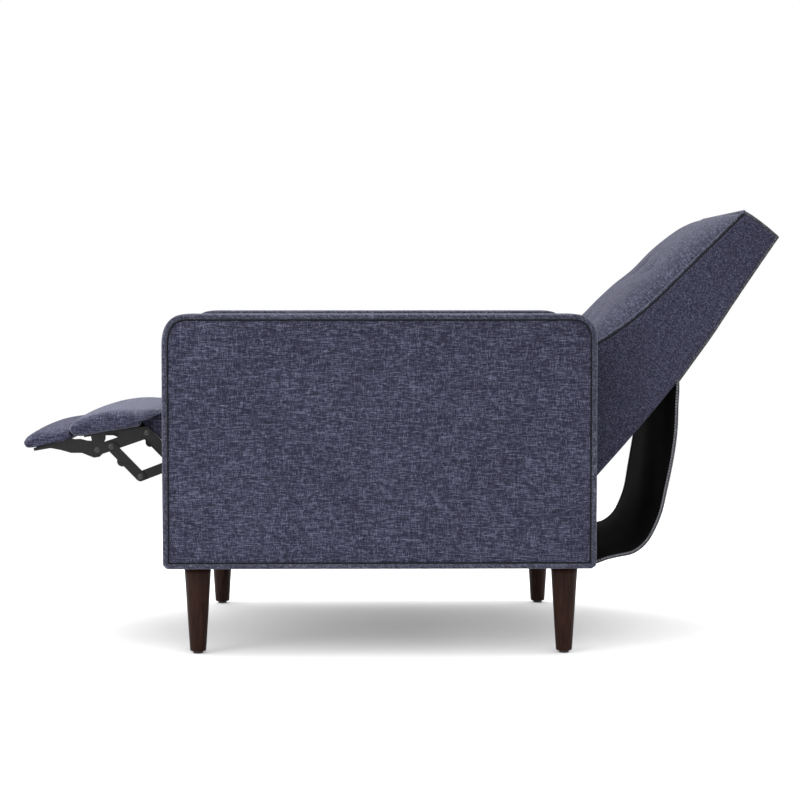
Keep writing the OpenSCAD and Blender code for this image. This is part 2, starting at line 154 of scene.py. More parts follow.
def curve(points, count, closed=False):
    """count points at even distances on a smooth curve through the given ones."""
    p = np.asarray(points, float)
    if closed:
        ring = np.vstack([p[-1:], p, p[:2]])
    else:
        ring = np.vstack([2 * p[0] - p[1], p, 2 * p[-1] - p[-2]])
    t = np.linspace(0, 1, 16, endpoint=False)[:, None]
    parts = []
    for i in range(len(ring) - 3):
        a, b, c, d = ring[i:i + 4]
        parts.append(0.5 * (2 * b + (c - a) * t + (2 * a - 5 * b + 4 * c - d) * t ** 2
                            + (3 * b - a - 3 * c + d) * t ** 3))
    line = np.vstack(parts + [ring[-2:-1]])
    if closed:
        return spread(line, count + 1)[:-1]
    return spread(line, count)


def profile(points, at):
    """A smooth function through (where, value) pairs, read at the given places."""
    line = curve(points, 400)
    order = np.argsort(line[:, 0])
    return np.interp(at, line[order, 0], line[order, 1])


def coons_at(first, last, start, end, rows, cols):
    """The grid between four border lines. Rows run from first to last and columns from start to end."""
    s, t = rows[:, None, None], cols[None, :, None]
    across = (1 - s) * first[None] + s * last[None]
    along = (1 - t) * start[:, None] + t * end[:, None]
    corners = ((1 - s) * (1 - t) * first[0] + (1 - s) * t * first[-1]
               + s * (1 - t) * last[0] + s * t * last[-1])
    return across + along - corners


def edge_rise(grid, radius):
    """0 at the border of a grid, 1 at radius or more inside it, along a quarter round."""
    def rise(distance):
        t = np.clip(distance / radius, 0, 1)
        return np.sqrt(1 - (1 - t) ** 2)

    du = np.linalg.norm(np.diff(grid, axis=0), axis=2)
    dv = np.linalg.norm(np.diff(grid, axis=1), axis=2)
    u = np.concatenate([np.zeros((1, grid.shape[1])), np.cumsum(du, axis=0)])
    v = np.concatenate([np.zeros((grid.shape[0], 1)), np.cumsum(dv, axis=1)], axis=1)
    return rise(u) * rise(u[-1:] - u) * rise(v) * rise(v[:, -1:] - v)


def ripple(points, size, height, seed=0.0):
    """Small smooth unevenness at each point, from -height to height."""
    flat = np.asarray(points).reshape(-1, 3)
    values = [noise.noise(Vector(p) / size + Vector((seed, seed, seed))) for p in flat]
    return (np.array(values) * height).reshape(np.asarray(points).shape[:-1])


def fine_ends(length, edge=(1.5, 3.5, 6, 10, 16, 24, 34), step=16):
    """Places from 0 to 1 along a length in mm, close together near both ends."""
    near = [e for e in edge if e < length / 2.2]
    inner = length - 2 * near[-1]
    middle = near[-1] + np.linspace(0, inner, max(2, round(inner / step)) + 1)
    places = [0.0] + near[:-1] + list(middle) + [length - e for e in near[-2::-1]] + [length]
    return np.array(places) / length


# ---- meshes ----

def build(name, grids, material, weld=0.00003, lined=None):
    """One mesh from grids of points, welded where they meet, with its faces outwards.

    The grid whose number is lined takes the second material.
    """
    faces, slots, count = [], [], 0
    for number, grid in enumerate(grids):
        rows, cols = grid.shape[:2]
        at = count + np.arange(rows * cols).reshape(rows, cols)
        quads = np.stack([at[:-1, :-1], at[:-1, 1:], at[1:, 1:], at[1:, :-1]], axis=-1)
        faces += quads.reshape(-1, 4).tolist()
        slots += [int(number == lined)] * (len(faces) - len(slots))
        count += rows * cols
    mesh = bpy.data.meshes.new(name)
    mesh.from_pydata(np.vstack([grid.reshape(-1, 3) for grid in grids]).tolist(), [], faces)
    mesh.polygons.foreach_set("material_index", slots)
    tidy_mesh(mesh, weld)
    return place(name, mesh, material)


def tidy_mesh(mesh, weld):
    """Welds a mesh, turns its faces outwards and shades it smooth."""
    b = bmesh.new()
    b.from_mesh(mesh)
    bmesh.ops.remove_doubles(b, verts=b.verts, dist=weld)
    bmesh.ops.dissolve_degenerate(b, edges=b.edges, dist=weld / 3)
    bmesh.ops.recalc_face_normals(b, faces=b.faces)
    b.to_mesh(mesh)
    b.free()
    for polygon in mesh.polygons:
        polygon.use_smooth = True


def place(name, mesh, material):
    piece = bpy.data.objects.new(name, mesh)
    bpy.context.scene.collection.objects.link(piece)
    for m in material if isinstance(material, (list, tuple)) else [material]:
        mesh.materials.append(m)
    return piece


def frames_along(path, closed):
    """Two unit directions across a path at each of its points, turning as little as they can."""
    path = np.asarray(path, float)
    if closed:
        tangent = np.roll(path, -1, axis=0) - np.roll(path, 1, axis=0)
    else:
        tangent = np.gradient(path, axis=0)
    tangent /= np.linalg.norm(tangent, axis=1)[:, None]
    first = np.cross(tangent[0], [1.0, 0.3, 0.2])
    side = [first / np.linalg.norm(first)]
    for t in tangent[1:]:
        s = side[-1] - t * (side[-1] @ t)
        side.append(s / np.linalg.norm(s))
    side = np.array(side)
    return side, np.cross(tangent, side)


def tube(name, paths, radius, material, closed=False, around=12, rough=0.15 * MM):
    """Round cords along paths, slightly uneven like wrapped cloth, with rounded ends."""
    grids = []
    cos, sin = circle(around)
    for path in paths:
        path = np.asarray(path, float)
        a, b = frames_along(path, closed)
        r = radius + ripple(path, 0.012, rough)
        ring = (path[:, None] + r[:, None, None] * (cos[None, :, None] * a[:, None]
                                                    + sin[None, :, None] * b[:, None]))
        if closed:
            ring = np.concatenate([ring, ring[:1]])
        else:
            start = np.broadcast_to(path[0], ring[0].shape)[None]
            end = np.broadcast_to(path[-1], ring[-1].shape)[None]
            ring = np.concatenate([start, ring, end])
        grids.append(ring)
    return build(name, grids, material, weld=0.00001)


def turned(centre, outline, around=48):
    """The grid of a shape turned about Z at a centre, from (radius, height) pairs."""
    return np.array([[(centre[0] + r * c, centre[1] + r * s, z) for c, s in zip(*circle(around))]
                     for r, z in outline])


def edge_strips(outer, inner):
    """Grids that join two skins: along their first and last row, then along both sides."""
    ends = [np.stack([outer[k], inner[k]]) for k in (0, -1)]
    return ends + [np.stack([outer[:, k], inner[:, k]]) for k in (0, -1)]


def ringed(name, rings, material):
    """A closed piece from rings of points, with its two ends closed in shrinking rings."""
    grid = np.array(rings)
    grid = np.concatenate([grid, grid[:, :1]], axis=1)
    grids = [grid]
    for end in (grid[0], grid[-1]):
        centre = end[:-1].mean(axis=0)
        grids.append(np.array([centre + (end - centre) * share for share in (1, 0.6, 0.25, 0)]))
    return build(name, grids, material, weld=0.00002)


def smooth_piece(piece):
    """One round of subdivision, which stays on the piece."""
    m = piece.modifiers.new("subdivision", "SUBSURF")
    m.levels = m.render_levels = 1


def finish_piece(piece, body, slot, *nodes):
    """Puts a piece on its body, in place of the CAD nodes that it stands for. slot is not used."""
    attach(piece, body)
    if nodes:
        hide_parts(*nodes)


# ---- padding by cloth simulation ----

SIM_FRAMES = 20


def inflate(piece, hold, limit, pressure):
    """Swells a closed mesh. hold gives each point's pin weight, and limit is how far it may move."""
    mesh = piece.data
    rest = np.array([v.co for v in mesh.vertices], float)
    group = piece.vertex_groups.new(name="hold")
    for i, weight in enumerate(hold(rest)):
        group.add([i], float(weight), "REPLACE")
    cloth = piece.modifiers.new("cloth", "CLOTH")
    s = cloth.settings
    s.quality = 6
    s.mass = 0.4
    s.tension_stiffness = s.compression_stiffness = 12
    s.shear_stiffness = 6
    s.bending_stiffness = 0.6
    s.use_pressure = True
    s.uniform_pressure_force = pressure
    s.vertex_group_mass = "hold"
    s.effector_weights.gravity = 0
    cloth.collision_settings.use_collision = False
    cloth.point_cache.frame_start, cloth.point_cache.frame_end = 1, SIM_FRAMES
    scene = bpy.context.scene
    for f in range(1, SIM_FRAMES + 1):
        scene.frame_set(f)
    result = piece.evaluated_get(bpy.context.evaluated_depsgraph_get()).to_mesh()
    moved = np.array([v.co for v in result.vertices], float) - rest
    piece.modifiers.remove(cloth)
    scene.frame_set(1)
    piece.vertex_groups.clear()
    length = np.linalg.norm(moved, axis=1)
    soft = limit * np.tanh(length / np.maximum(limit, 1e-6))
    moved *= (soft / np.maximum(length, 1e-9))[:, None]
    mesh.vertices.foreach_set("co", (rest + moved).astype(np.float32).ravel())
    mesh.update()


# ---- materials ----

class Nodes:
    """A material or world being wired up, with its texture coordinates at hand."""

    def __init__(self, owner):
        owner.use_nodes = True
        self.owner = owner
        self.tree = owner.node_tree
        self.tree.nodes.clear()
        self.coordinates = self.add("TexCoord").outputs

    def add(self, kind, inputs=None, **settings):
        node = self.tree.nodes.new("ShaderNode" + kind)
        for key, value in settings.items():
            setattr(node, key, value)
        for key, value in (inputs or {}).items():
            if isinstance(value, bpy.types.NodeSocket):
                self.tree.links.new(value, node.inputs[key])
            else:
                node.inputs[key].default_value = value
        return node

    def math(self, operation, a, b=0.0, c=0.0):
        return self.add("Math", {0: a, 1: b, 2: c}, operation=operation).outputs[0]

    def between(self, share, a, b):
        return self.math("MULTIPLY_ADD", share, self.math("SUBTRACT", b, a), a)

    def combine(self, x, y, z):
        return self.add("CombineXYZ", {0: x, 1: y, 2: z}).outputs[0]

    def noise(self, vector, scale=1.0, detail=2.0, roughness=0.5):
        return self.add("TexNoise", {"Vector": vector, "Scale": scale, "Detail": detail,
                                     "Roughness": roughness}).outputs["Fac"]

    def ramp(self, fac, stops):
        node = self.add("ValToRGB", {"Fac": fac})
        band = node.color_ramp
        while len(band.elements) < len(stops):
            band.elements.new(0.5)
        for element, (position, colour) in zip(band.elements, stops):
            element.position = position
            element.color = (*colour, 1)
        return node.outputs["Color"]

    def bump(self, height, strength, distance):
        return self.add("Bump", {"Height": height, "Strength": strength,
                                 "Distance": distance}).outputs[0]

    def surface(self, **inputs):
        shader = self.add("BsdfPrincipled", {k.replace("_", " "): v for k, v in inputs.items()})
        self.add("OutputMaterial", {0: shader.outputs[0]})
        return self.owner


def new_material(name):
    """The nodes of a new material, and its place on the piece."""
    m = Nodes(bpy.data.materials.new(name))
    return m, m.coordinates["Object"]


def srgb(r, g, b):
    """A colour from its 0-255 screen values."""
    def linear(v):
        v /= 255
        return v / 12.92 if v <= 0.04045 else ((v + 0.055) / 1.055) ** 2.4
    return (linear(r), linear(g), linear(b))


THREAD = 1.15 * MM               # distance between threads
SLUB_LONG = 0.013                # how far a thread keeps its shade
FLECKS = 0.10                    # how much single crossings differ
PATCHES = 0.05                   # how much wide patches differ
SLUB_SHARE = 0.36                # how much lighter the thick slubs are


def fabric(name, dark, middle, light, tilt=0.0, scale=1.0, even=1.0, sheen=0.12):
    """Heathered linen in plain weave. The threads follow the side that each face looks to."""
    m = Nodes(bpy.data.materials.new(name))
    turn = [m.add("VectorRotate", {"Vector": m.coordinates[output], "Angle": tilt},
                  rotation_type="X_AXIS").outputs[0] for output in ("Object", "Normal")]
    p = m.add("SeparateXYZ", {0: turn[0]}).outputs
    n = [m.math("ABSOLUTE", o) for o in m.add("SeparateXYZ", {0: turn[1]}).outputs]
    looks_x = m.math("GREATER_THAN", n[0], m.math("MAXIMUM", n[1], n[2]))
    looks_z = m.math("GREATER_THAN", n[2], m.math("MAXIMUM", n[0], n[1]))
    along = m.between(looks_x, p[0], p[1])
    across = m.between(looks_z, p[2], p[1])
    pitch = THREAD * scale
    long = SLUB_LONG * scale * even

    def thread_shade(a, b, size, width, seed):
        row = m.math("FLOOR", m.math("DIVIDE", b, width))
        spot = m.combine(m.math("DIVIDE", a, size), m.math("MULTIPLY", row, 7.31), seed)
        return m.noise(spot, detail=2.0, roughness=0.55)

    weft = thread_shade(along, across, long, pitch, 1.7)
    warp = thread_shade(across, along, long * 0.8, pitch, 6.1)
    columns = m.math("FLOOR", m.math("DIVIDE", along, pitch))
    rows = m.math("FLOOR", m.math("DIVIDE", across, pitch))
    on_top = m.math("PINGPONG", m.math("ADD", columns, rows), 1.0)
    share = m.math("MULTIPLY_ADD", on_top, 0.56, 0.30)
    woven = m.between(share, warp, weft)
    slub = m.math("MAXIMUM", thread_shade(along, across, long * 4.0, pitch * 1.2, 3.3),
                  thread_shade(across, along, long * 2.6, pitch * 1.2, 8.8))
    fleck = m.add("TexWhiteNoise", {"Vector": m.combine(columns, rows, 4.4)}).outputs["Value"]
    slub = m.math("MULTIPLY", m.math("SUBTRACT", slub, 0.56), SLUB_SHARE * even)
    patches = m.noise(turn[0], scale=8.0, detail=2.0)
    tone = m.math("ADD", woven, m.math("MAXIMUM", slub, -0.02))
    for unevenness, amount in ((patches, PATCHES), (fleck, FLECKS)):
        tone = m.math("MULTIPLY_ADD", m.math("SUBTRACT", unevenness, 0.5), amount, tone)
    colour = m.ramp(tone, [(0.34, dark), (0.50, middle), (0.68, light)])

    turns = math.pi / pitch
    over = m.math("SINE", m.math("MULTIPLY", along, turns))
    under = m.math("SINE", m.math("MULTIPLY", across, turns))
    round_threads = m.math("ABSOLUTE", m.math("MULTIPLY", over, under))
    height = m.math("MULTIPLY_ADD", round_threads, 0.5, m.math("MULTIPLY", woven, 1.6))
    return m.surface(Base_Color=colour, Roughness=0.92, Specular_IOR_Level=0.2,
                     Sheen_Weight=sheen, Sheen_Roughness=0.45, Sheen_Tint=(0.75, 0.77, 0.9, 1),
                     Normal=m.bump(height, 0.6, 0.5 * MM))


def lining(name):
    """Black felted lining with small embossed dots."""
    m, p = new_material(name)
    cells = m.add("TexVoronoi", {"Vector": p, "Scale": 420.0}).outputs["Distance"]
    fibres = m.noise(p, scale=900.0, detail=3.0)
    colour = m.ramp(fibres, [(0.35, (0.0012, 0.0013, 0.0013)), (0.7, (0.0045, 0.0046, 0.0046))])
    height = m.math("MULTIPLY_ADD", cells, 0.6, fibres)
    return m.surface(Base_Color=colour, Roughness=0.95, Specular_IOR_Level=0.05,
                     Normal=m.bump(height, 0.4, 0.3 * MM))


def wood(name, dark, light, roughness, coat, along=2, grain=0.0035):
    """Wood with its grain along one axis: 0, 1 or 2."""
    m, p = new_material(name)
    stretch = [1 / grain] * 3
    stretch[along] = 1 / (grain * 22)
    vector = m.add("Mapping", {"Vector": p, "Scale": stretch}).outputs[0]
    rings = m.noise(vector, detail=4.0, roughness=0.6)
    pores = m.noise(vector, scale=4.0, detail=2.0)
    tone = m.math("MULTIPLY_ADD", pores, 0.3, m.math("MULTIPLY", rings, 0.7))
    colour = m.ramp(tone, [(0.38, dark), (0.62, light)])
    rough = m.math("MULTIPLY_ADD", pores, 0.15, roughness - 0.07)
    return m.surface(Base_Color=colour, Roughness=rough, Specular_IOR_Level=0.08,
                     Coat_Weight=coat, Coat_Roughness=0.25,
                     Normal=m.bump(tone, 0.25, 0.2 * MM))


def metal(name, colour, metallic, roughness, wear):
    """Painted or plated steel: slight orange peel, scuffs and dust."""
    m, p = new_material(name)
    peel = m.noise(p, scale=700.0, detail=1.0)
    scuff = m.noise(m.add("Mapping", {"Vector": p, "Scale": (60, 220, 90)}).outputs[0],
                    detail=5.0, roughness=0.7)
    worn = tuple(c + (wear - c) * 0.35 for c in colour)
    shade = m.ramp(scuff, [(0.52, colour), (0.75, worn)])
    rough = m.math("MULTIPLY_ADD", scuff, 0.3, roughness - 0.15)
    return m.surface(Base_Color=shade, Metallic=metallic, Roughness=rough,
                     Specular_IOR_Level=0.5 if metallic else 0.28,
                     Normal=m.bump(peel, 0.15, 0.1 * MM))


def plastic(name, colour):
    m, p = new_material(name)
    grain = m.noise(p, scale=1500.0, detail=2.0)
    shade = m.ramp(grain, [(0.3, colour), (0.8, tuple(c * 1.6 for c in colour))])
    return m.surface(Base_Color=shade, Roughness=0.5, Normal=m.bump(grain, 0.2, 0.1 * MM))


def webbing(name):
    """Elastic strap with ribs across it."""
    m, p = new_material(name)
    x = m.add("SeparateXYZ", {0: p}).outputs[0]
    ribs = m.math("SINE", m.math("MULTIPLY", x, 2 * math.pi / (2 * MM)))
    fuzz = m.noise(p, scale=800.0)
    colour = m.ramp(m.math("MULTIPLY_ADD", ribs, 0.25, fuzz),
                    [(0.2, (0.004, 0.004, 0.005)), (0.8, (0.03, 0.03, 0.034))])
    return m.surface(Base_Color=colour, Roughness=0.85, Normal=m.bump(ribs, 0.4, 0.4 * MM))


def thread_material():
    m, p = new_material("thread_light")
    twist = m.noise(p, scale=900.0)
    colour = m.ramp(twist, [(0.3, srgb(120, 121, 128)), (0.7, srgb(186, 187, 192))])
    return m.surface(Base_Color=colour, Roughness=0.7)


NAVY = [srgb(22, 22, 35), srgb(42, 42, 60), srgb(88, 88, 109)]
FABRIC = fabric("fabric_linen", *NAVY[:2], srgb(98, 98, 119))
# Lit and shaded copies of the same linen: extra sheen makes the footrest pad and gusset look lit on
# top, little sheen makes the flipper look shaded
FABRIC_FOOT_SHEEN_LIT = fabric("fabric_linen_foot_sheen_lit", *NAVY, sheen=0.28)
FABRIC_FLIP_SHEEN_SHADED = fabric("fabric_linen_flipper_sheen_shaded", *NAVY, sheen=0.04)
FABRIC_BACK = fabric("fabric_linen_back", *NAVY, tilt=LEAN, even=0.27)
# A darker copy of the same linen for the tufted cushion and its buttons: painted shade on the cushion
# face
FABRIC_TUFT_SHADED = fabric("fabric_linen_tufted_shaded", srgb(15, 15, 27), srgb(38, 38, 55), srgb(88, 88, 109),
                     tilt=LEAN, even=0.6)
PIPING = fabric("fabric_piping", srgb(22, 22, 33), srgb(46, 47, 62), srgb(106, 107, 125),
                tilt=math.radians(40), scale=0.9, even=0.5, sheen=0.3)
# Near-black cloth for cords laid in the seam grooves beside the piping: painted shadow
SEAM_SHADOW_CLOTH = fabric("fabric_painted_seam_shadow", srgb(5, 5, 8), srgb(12, 12, 17), srgb(26, 26, 34), even=0.5)
HEM = fabric("fabric_hem", srgb(28, 29, 31), srgb(56, 57, 61), srgb(108, 109, 114), scale=0.9,
             even=0.5)
LINING = lining("lining_black")
ESPRESSO = wood("wood_espresso", (0.0092, 0.0032, 0.0020), (0.027, 0.0100, 0.0057), 0.42, 0.03)
PINE_TONES = ((0.15, 0.085, 0.038), (0.27, 0.175, 0.09))
PINE = wood("wood_pine", *PINE_TONES, 0.7, 0.0, along=0)
PINE_Z = wood("wood_pine_upright", *PINE_TONES, 0.7, 0.0)
BLACK_STEEL = metal("steel_black", (0.0062, 0.0063, 0.0062), 0.0, 0.48, 0.03)
RIVET_STEEL = metal("steel_rivet", (0.030, 0.031, 0.031), 0.0, 0.35, 0.10)
ZINC = metal("steel_zinc", (0.20, 0.205, 0.215), 1.0, 0.42, 0.35)
GLIDE = plastic("plastic_glide", (0.012, 0.012, 0.013))
STRAP = webbing("webbing_elastic")
THREAD_LIGHT = thread_material()


# ---- arms ----

# Corners of an arm: reach along Y and Z in mm, and how full the corner is (2 is round)
ARM_FRONT = (46, 58, 2.5)
ARM_REAR = (44, 48, 2.3)
ARM_BASE = (10, 10, 2.0)
PIPE_R = 4.9
SHADOW_CORD_R, SHADOW_CORD_IN = 1.2, 3.3       # dark cord in the seam beside the piping as painted shadow of the groove, and its depth
ARM_SAG = 3.0                    # how far the padding hangs below the CAD cover, in mm


def corner_point(corner, degrees):
    """A point of a rounded corner: its centre, its reach along Y and Z, and how full it is."""
    (y, z), (along, high, full) = corner
    c, s = math.cos(math.radians(degrees)), math.sin(math.radians(degrees))
    return (y + along * math.copysign(abs(c) ** (2 / full), c),
            z + high * math.copysign(abs(s) ** (2 / full), s))


def arm_outline(inset):
    """Side outline of an arm in mm, drawn smaller by inset."""
    y0, y1 = ARM_LOW.y / MM + inset, ARM_HIGH.y / MM - inset
    z0, z1 = ARM_LOW.z / MM - ARM_SAG + inset, ARM_HIGH.z / MM - inset
    corners = []
    for (along, high, full), end, top in ((ARM_BASE, y1, 0), (ARM_REAR, y1, 1),
                                          (ARM_FRONT, y0, 1), (ARM_BASE, y0, 0)):
        along, high = max(along - inset, 0.0), max(high - inset, 0.0)
        y = end - along if end == y1 else end + along
        z = z1 - high if top else z0 + high
        corners.append(((y, z), (along, high, full)))
    points = []
    for k, count in enumerate((24, 40, 24, 40)):
        first = 90 * k - 90
        turn = [first + 90 * i / CORNER_STEPS for i in range(CORNER_STEPS + 1)]
        points += [corner_point(corners[k], degrees) for degrees in turn]
        end = points[-1]
        goal = corner_point(corners[(k + 1) % 4], first + 90)
        for i in range(1, count):
            t = i / count
            points.append((end[0] + (goal[0] - end[0]) * t, end[1] + (goal[1] - end[1]) * t))
    return np.array(points)


def arm_section():
    """(x, inset) in mm round an arm's cover, from the middle of its outer panel to the inner one."""
    outer = ARM_HIGH.x / MM
    inner = INNER_X / MM
    half = ((ARM_HIGH.z - ARM_LOW.z) / MM + ARM_SAG) / 2
    welt = 2 * PIPE_R
    panel = [(1.0, half), (0.9, 190), (0.9, 150), (0.9, 110), (1.0, 80), (1.1, 55), (1.3, 38),
             (1.6, 26), (2.0, 18), (2.6, welt + 5.0), (3.6, welt + 2.2), (5.0, welt + 0.7),
             (6.8, welt - 0.3), (8.2, welt - 1.4)]
    boxing = [(welt + 0.2, 6.6), (welt + 0.9, 4.8), (welt + 2.0, 3.2), (welt + 3.8, 2.1),
              (welt + 6.6, 1.3), (21, 0.8), (28, 0.5), (38, 0.3), (50, 0.2)]
    left = [(outer - dx, inset) for dx, inset in panel + boxing]
    right = [(inner + dx, inset) for dx, inset in reversed(panel + boxing[:-1])]
    return left + right


def arm_ring(x, inset):
    flat = arm_outline(inset)
    return np.column_stack([np.full(len(flat), x), flat])


def arm_path(x, inset):
    """An even closed path round an arm, for its piping or its seam."""
    ring = arm_ring(x, inset) * MM
    return spread(np.vstack([ring, ring[:1]]), 420)[:-1]


def make_arm(name, side):
    """The padded cover of an arm, piping round its panels, and dark cords in their seams as painted
    shadow of the grooves.
    """
    rings = np.array([arm_ring(x, inset) for x, inset in arm_section()]) * MM
    middle = (ARM_HIGH.x + INNER_X) / 2
    inset = np.array([inset for _, inset in arm_section()])
    calm = np.clip((inset - 12) / 30, 0, 1)[:, None] * np.sign(rings[..., 0] - middle)
    rings[..., 0] += calm * ripple(rings, 0.11, 0.9 * MM, seed=3.0 * side)
    top = np.clip((12 - inset) / 8, 0, 1)[:, None]
    rings[..., 2] += top * ripple(rings, 0.09, 0.6 * MM, seed=5.0 * side)
    rings = np.concatenate([rings, rings[:, :1]], axis=1)
    rings[..., 0] *= side
    cover = build(f"arm_upholstery_{name}", [rings], FABRIC)
    finish_piece(cover, "base", "fabric", f"arm_cover_{name}")
    for edge, x in (("_outer", ARM_HIGH.x / MM - PIPE_R), ("_inner", INNER_X / MM + PIPE_R)):
        bead = tube(f"arm_bead{edge}_{name}", [arm_path(x * side, PIPE_R)], PIPE_R * MM, PIPING,
                    closed=True)
        nodes = [f"arm_piping_{name}"] if edge == "_outer" else []
        finish_piece(bead, "base", "piping", *nodes)
    # Dark cords in the seams beside both beads: painted shadow of the grooves
    paths = [arm_path(x * side, 2 * PIPE_R + 1.0)
             for x in (ARM_HIGH.x / MM - SHADOW_CORD_IN, INNER_X / MM + SHADOW_CORD_IN)]
    shadow_cord = tube(f"arm_seam_shadow_cord_{name}", paths, SHADOW_CORD_R * MM, SEAM_SHADOW_CLOTH, closed=True, around=8)
    finish_piece(shadow_cord, "base", "piping")


# ---- cloth on the timber rails that show ----

# In mm: thickness of the cloth, its gap to the timber, and the radius of the timber's edges
RAIL_CLOTH_T, RAIL_CLOTH_GAP, RAIL_CORNER = 1.4, 0.3, 3.0


def rail_section(rail, out, faced):
    """Side outline of a rail's cloth: right round it, or faced, from under it up its front face."""
    low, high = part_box(rail)
    y0, y1 = low.y / MM - out, high.y / MM + out
    z0, z1 = low.z / MM - out, high.z / MM + out
    r = RAIL_CORNER + out - RAIL_CLOTH_GAP
    if faced:
        line = [(high.y / MM - 4, z0)] + arc((y0 + r, z0 + r), r, 270, -90)
        return spread(line + [(y0, high.z / MM - 1)], 60)
    start = [(y1, (z0 + z1) / 2)]
    return spread(start + rounded(y0, z0, y1, z1, r, 0) + start, 96)


def make_rail_cover(rail, body, faced=False):
    """Thin cloth round a timber rail, with its cut edges closed."""
    low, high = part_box(rail)
    xs = np.linspace(low.x + 0.0005, high.x - 0.0005, 40)
    skins = []
    for out in (RAIL_CLOTH_GAP + RAIL_CLOTH_T, RAIL_CLOTH_GAP):
        line = rail_section(rail, out, faced) * MM
        grid = np.zeros((len(xs), len(line), 3))
        grid[..., 0] = xs[:, None]
        grid[..., 1:] = line[None]
        skins.append(grid)
    outer, inner = skins
    rims = edge_strips(outer, inner)[:4 if faced else 2]
    cover = build(f"{rail}_cover", [outer, inner] + rims, FABRIC)
    finish_piece(cover, body, "fabric")


# ---- legs ----

LEG_FOOT_R = 14.5 * MM
LEG_EDGE = 1.2 * MM              # rounding of its edges


def make_leg(name):
    """A turned, tapered leg with a softened foot."""
    low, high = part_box(name)
    centre = ((low.x + high.x) / 2, (low.y + high.y) / 2)
    top_r, foot_r, edge = (high.x - low.x) / 2, LEG_FOOT_R, LEG_EDGE
    z0, z1 = low.z, high.z
    slope = (top_r - foot_r) / (z1 - z0)
    outline = [(0.0, z0), (foot_r - 2.4 * edge, z0), (foot_r - edge, z0 + 0.15 * edge),
               (foot_r - 0.25 * edge, z0 + 0.7 * edge), (foot_r, z0 + 1.6 * edge)]
    for k in range(1, 9):
        z = z0 + (z1 - z0) * k / 8
        outline.append((foot_r + slope * (z - z0), z))
    outline += [(top_r, z1), (top_r - edge, z1), (0.0, z1)]
    leg = build(f"{name}_turned", [turned(centre, outline)], ESPRESSO, weld=0.00001)
    finish_piece(leg, "base", "leg_wood", name)


# ---- seat ----

def box_grid(low, high, step):
    """The six sides of a box as grids of points, meeting at its edges."""
    counts = [max(2, round((b - a) / step)) + 1 for a, b in zip(low, high)]
    lines = [np.linspace(a, b, c) for a, b, c in zip(low, high, counts)]
    grids = []
    for axis in range(3):
        a, b = [k for k in range(3) if k != axis]
        for end in (low[axis], high[axis]):
            grid = np.zeros((counts[a], counts[b], 3))
            grid[..., a] = lines[a][:, None]
            grid[..., b] = lines[b][None, :]
            grid[..., axis] = end
            grids.append(grid)
    return grids


SEAT_SEAM = 0.468                # height of the seam round the top of the seat cushion
SEAT_CORNER = 0.030
SEAT_GRID = 0.0115               # size of its faces before it is swelled
SEAT_BEAD_R = 4.0 * MM
SEAM_DEPTH = 0.0005              # how far its piping is set in
SEAT_CROWN = 0.013               # rise of its top before it is swelled
SWELL_TOP, SWELL_FRONT, SWELL_SIDE = 0.024, 0.007, 0.002


def round_corners(points, low, high, radius):
    """Moves the points of a box so that its upright edges have a radius."""
    inner = np.clip(points[:, :2], low[:2] + radius, high[:2] - radius)
    out = points[:, :2] - inner
    corner = (out != 0).all(axis=1)
    share = np.abs(out).max(axis=1)[corner] / np.hypot(*out[corner].T)
    points[corner, :2] = inner[corner] + out[corner] * share[:, None]
    return points


def make_seat():
    """The seat cushion: crowned top, swelled front, and piping along its upper seam."""
    low = np.array([SEAT_LOW.x + 0.001, SEAT_LOW.y + 0.002, SEAT_LOW.z + 0.001])
    high = np.array([SEAT_HIGH.x - 0.001, SEAT_HIGH.y - 0.002, SEAT_SEAM])
    piece = build("seat_cushion_filled", box_grid(low, high, SEAT_GRID), FABRIC)
    points = np.array([v.co for v in piece.data.vertices])
    points = round_corners(points, low, high, SEAT_CORNER)
    middle, half = (low + high) / 2, (high - low) / 2
    away = np.abs(points[:, :2] - middle[:2]) / half[:2]
    crown = (1 - away[:, 0] ** 3) * (1 - away[:, 1] ** 3)
    on_top = points[:, 2] > high[2] - 1e-5
    points[on_top, 2] += SEAT_CROWN * crown[on_top]
    piece.data.vertices.foreach_set("co", points.astype(np.float32).ravel())

    def hold(p):
        seam = np.abs(p[:, 2] - high[2]) < 0.0004
        return np.where((p[:, 2] < low[2] + 0.002) | seam & (crown < 0.004), 1.0, 0.0)

    side = np.where(points[:, 1] < low[1] + 0.03, SWELL_FRONT, SWELL_SIDE)
    inflate(piece, hold, np.where(on_top, SWELL_TOP, side), pressure=4.0)
    smooth_piece(piece)
    finish_piece(piece, "seat", "fabric", "seat_cushion")
    ring = rounded(*(low[:2] + SEAM_DEPTH), *(high[:2] - SEAM_DEPTH), SEAT_CORNER, -90)
    ring = spread(ring + ring[:1], 401)[:-1]
    path = np.column_stack([ring, np.full(len(ring), high[2])])
    bead = tube("seat_cushion_bead", [path], SEAT_BEAD_R, PIPING, closed=True)
    finish_piece(bead, "seat", "piping")


# ---- back ----

# Side views as (rearwards, up the back) in mm from the recline pivot
BACK_SEAM = [(2, 14), (2, 90), (8, 130), (20, 175), (37, 225), (48, 280), (53, 335), (54, 400),
             (53.5, 480), (53.5, 580)]
BACK_TOP = [(53.5, 580), (66, 583.5), (86, 587), (108, 589.8), (127, 591.5)]
BACK_REAR = [(127, 591.5), (142, 516), (158, 440), (170, 386), (180.5, 328), (189, 279)]
BACK_LOWER = [(189, 279), (197, 208), (205, 120), (209.7, 53.5), (213, 14)]
BACK_BASE = [(2, 14), (60, 14), (120, 14), (213, 14)]
# Front of the cushion on its centre line, as (up the back, rearwards)
BACK_CROWN = [(14, 2), (22, -2), (50, -4), (100, -4), (200, 1.5), (259, 4.7), (308, 6.3),
              (371, 7.5), (399, 9), (453, 11.1), (517, 19.6), (546, 29), (572, 44), (580, 53.5)]
